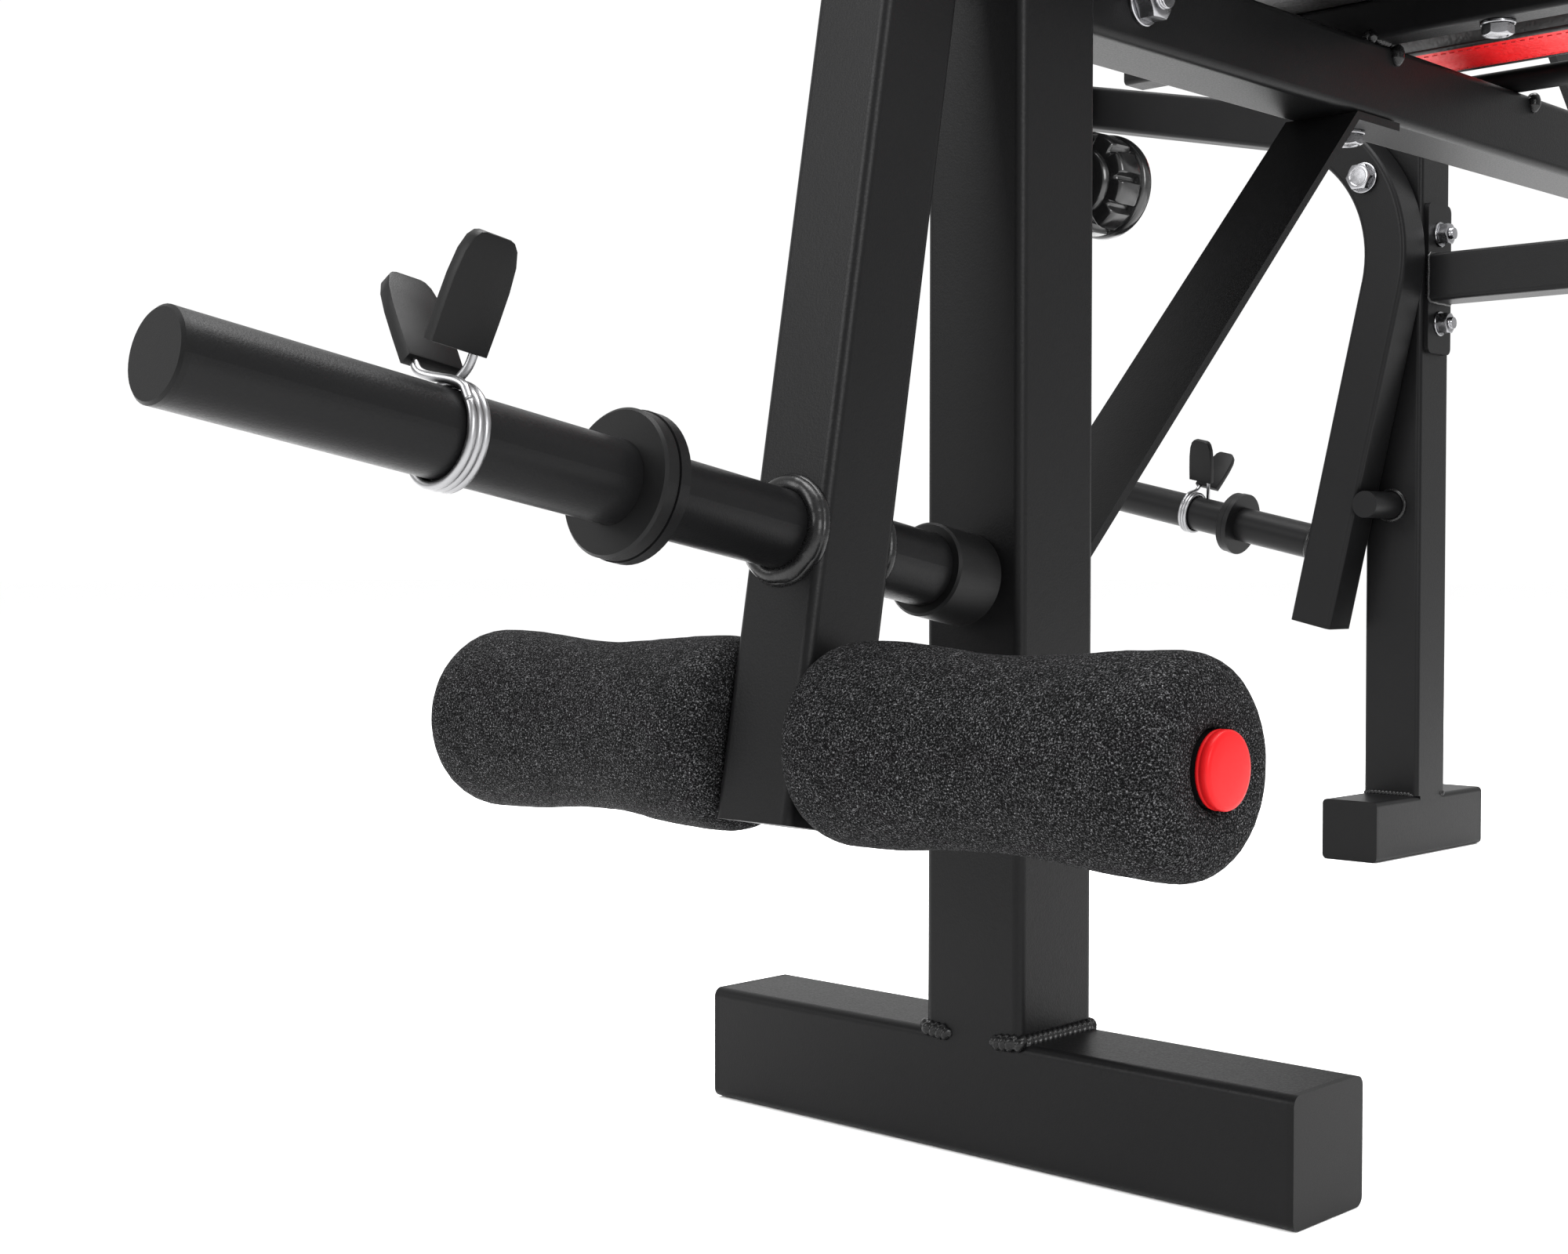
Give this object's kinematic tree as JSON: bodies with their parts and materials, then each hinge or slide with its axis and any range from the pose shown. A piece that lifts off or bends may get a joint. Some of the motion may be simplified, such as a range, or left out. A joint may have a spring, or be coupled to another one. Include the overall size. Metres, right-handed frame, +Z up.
{
  "type": "weight bench",
  "caption": "Adjustable weight bench with a reclining backrest, leg lever with foam rollers, hinged butterfly arms and telescopic bar catches.",
  "frame": {"origin": "on the floor, at the centre of the bench's bounding box", "axes": "+X towards the rear uprights (the front weight peg points to -X), +Y towards the bench's left side, +Z up"},
  "size_m": [1.4924, 1.404, 1.2157],
  "materials": {
    "black_powder_coat": "semi-gloss black powder coat with a fine orange-peel grain",
    "zinc": "bright zinc plating",
    "spring_steel": "satin grey drawn wire",
    "black_plastic": "moulded matte black",
    "knob_plastic": "glossy black",
    "red_plastic": "glossy bright red",
    "black_rubber": "matte black",
    "foam": "fine speckled closed-cell foam",
    "vinyl": "grained black vinyl with a red side band",
    "plywood": "raw plywood under the vinyl"
  },
  "bodies": {
    "frame": {"front_foot": "black_powder_coat", "front_post": "black_powder_coat", "main_beam": "black_powder_coat", "brace": "black_powder_coat", "crossbar": "black_powder_coat", "rear_upright_left": "black_powder_coat", "rear_upright_right": "black_powder_coat", "rear_feet": "black_powder_coat", "foot_plugs": "black_plastic", "seat_cross_tubes": "black_powder_coat", "backrest_axle": "black_powder_coat", "backrest_ladder": "black_powder_coat", "seat_board": "plywood", "seat_pad": "vinyl", "seat_bolts": "zinc", "frame_bolts": "zinc", "frame_nuts": "zinc", "rack_sleeves": "black_plastic", "upper_roller_tube": "black_powder_coat", "upper_roller_plugs": "red_plastic", "pivot_bolts": "zinc"},
    "upper_foam_left": {"upper_foam_left": "foam"},
    "upper_foam_right": {"upper_foam_right": "foam"},
    "lever": {"lever_tube": "black_powder_coat", "lever_bush": "zinc", "lever_caps": "black_plastic", "lever_peg": "black_powder_coat", "lever_peg_ring": "black_rubber", "lever_bumper": "black_rubber", "lower_roller_tube": "black_powder_coat", "lower_roller_plugs": "red_plastic"},
    "lower_foam_left": {"lower_foam_left": "foam"},
    "lower_foam_right": {"lower_foam_right": "foam"},
    "front_collar": {"front_collar_spring": "spring_steel", "front_collar_grip_fixed": "black_plastic"},
    "front_grip": {"front_collar_grip_moving": "black_plastic"},
    "arm_left": {"arm_left": "black_powder_coat", "arm_caps_left": "black_plastic", "arm_roller_plug_left": "red_plastic"},
    "arm_right": {"arm_right": "black_powder_coat", "arm_caps_right": "black_plastic", "arm_roller_plug_right": "red_plastic"},
    "arm_foam_left": {"arm_foam_left": "foam"},
    "arm_foam_right": {"arm_foam_right": "foam"},
    "left_collar": {"left_collar_spring": "spring_steel", "left_collar_grip_fixed": "black_plastic"},
    "left_grip": {"left_collar_grip_moving": "black_plastic"},
    "right_collar": {"right_collar_spring": "spring_steel", "right_collar_grip_fixed": "black_plastic"},
    "right_grip": {"right_collar_grip_moving": "black_plastic"},
    "rack_left": {"rack_left": "black_powder_coat"},
    "rack_right": {"rack_right": "black_powder_coat"},
    "post_knob": {"post_knob": "knob_plastic"},
    "rack_knob_left": {"rack_knob_left": "knob_plastic"},
    "rack_knob_right": {"rack_knob_right": "knob_plastic"},
    "backrest": {"backrest_frame": "black_powder_coat", "backrest_board": "plywood", "backrest_pad": "vinyl", "backrest_bolts": "zinc"},
    "prop": {"backrest_prop": "black_powder_coat"}
  },
  "joints": [
    {"name": "leg_lever_pivot", "type": "hinge", "parent": "frame", "child": "lever", "pos_m": [-0.41477, 0, 0.524], "axis": [0, 1, 0], "range_deg": [0, 100]},
    {"name": "upper_roller_left_spin", "type": "hinge", "parent": "frame", "child": "upper_foam_left", "pos_m": [-0.38927, 0, 0.572], "axis": [0, 1, 0], "continuous": true},
    {"name": "upper_roller_right_spin", "type": "hinge", "parent": "frame", "child": "upper_foam_right", "pos_m": [-0.38927, 0, 0.572], "axis": [0, 1, 0], "continuous": true},
    {"name": "lower_roller_left_spin", "type": "hinge", "parent": "lever", "child": "lower_foam_left", "pos_m": [-0.47702, 0, 0.17805], "axis": [0, 1, 0], "continuous": true},
    {"name": "lower_roller_right_spin", "type": "hinge", "parent": "lever", "child": "lower_foam_right", "pos_m": [-0.47702, 0, 0.17805], "axis": [0, 1, 0], "continuous": true},
    {"name": "front_collar_slide", "type": "slide", "parent": "lever", "child": "front_collar", "axis": [-0.9842, 0, 0.1771], "range_m": [-0.045, 0.09]},
    {"name": "front_grip_squeeze", "type": "hinge", "parent": "front_collar", "child": "front_grip", "pos_m": [-0.63982, 0, 0.28406], "axis": [0.9842, 0, -0.1771], "range_deg": [0, 13], "stiffness_Nm_per_rad": 6},
    {"name": "arm_left_pivot", "type": "hinge", "parent": "frame", "child": "arm_left", "pos_m": [0.60673, 0.357, 0.568], "axis": [1, 0, 0], "range_deg": [0, 95]},
    {"name": "arm_roller_left_spin", "type": "hinge", "parent": "arm_left", "child": "arm_foam_left", "pos_m": [0.60673, 0.66453, 0.67391], "axis": [1, 0, 0], "continuous": true},
    {"name": "left_collar_slide", "type": "slide", "parent": "arm_left", "child": "left_collar", "axis": [0, 0.9751, 0.2215], "range_m": [-0.012, 0.115]},
    {"name": "left_grip_squeeze", "type": "hinge", "parent": "left_collar", "child": "left_grip", "pos_m": [0.60673, 0.53421, 0.29287], "axis": [0, -0.9751, -0.2215], "range_deg": [0, 13], "stiffness_Nm_per_rad": 6},
    {"name": "arm_right_pivot", "type": "hinge", "parent": "frame", "child": "arm_right", "pos_m": [0.60673, -0.357, 0.568], "axis": [-1, 0, 0], "range_deg": [0, 95]},
    {"name": "arm_roller_right_spin", "type": "hinge", "parent": "arm_right", "child": "arm_foam_right", "pos_m": [0.60673, -0.66453, 0.67391], "axis": [1, 0, 0], "continuous": true},
    {"name": "right_collar_slide", "type": "slide", "parent": "arm_right", "child": "right_collar", "axis": [0, -0.9751, 0.2215], "range_m": [-0.012, 0.115]},
    {"name": "right_grip_squeeze", "type": "hinge", "parent": "right_collar", "child": "right_grip", "pos_m": [0.60673, -0.53421, 0.29287], "axis": [0, -0.9751, 0.2215], "range_deg": [0, 13], "stiffness_Nm_per_rad": 6},
    {"name": "rack_left_height", "type": "slide", "parent": "frame", "child": "rack_left", "axis": [0, 0, 1], "range_m": [0, 0.15]},
    {"name": "rack_right_height", "type": "slide", "parent": "frame", "child": "rack_right", "axis": [0, 0, 1], "range_m": [0, 0.15]},
    {"name": "post_knob_turn", "type": "hinge", "parent": "frame", "child": "post_knob", "pos_m": [-0.31327, 0, 0.408], "axis": [1, 0, 0], "range_deg": [0, 720]},
    {"name": "rack_knob_left_turn", "type": "hinge", "parent": "frame", "child": "rack_knob_left", "pos_m": [0.68823, 0.3506, 0.85], "axis": [1, 0, 0], "range_deg": [0, 720]},
    {"name": "rack_knob_right_turn", "type": "hinge", "parent": "frame", "child": "rack_knob_right", "pos_m": [0.68823, -0.3506, 0.85], "axis": [1, 0, 0], "range_deg": [0, 720]},
    {"name": "backrest_tilt", "type": "hinge", "parent": "frame", "child": "backrest", "pos_m": [0.08273, 0, 0.5105], "axis": [0, 1, 0], "range_deg": [0, 84.5]},
    {"name": "prop_swing", "type": "hinge", "parent": "backrest", "child": "prop", "pos_m": [0.1019, 0, 0.72966], "axis": [0, 1, 0], "range_deg": [-130, 0]}
  ],
  "couplings": [
    {"joint": "prop_swing", "follows": "backrest_tilt", "ratio": -1.5275}
  ]
}
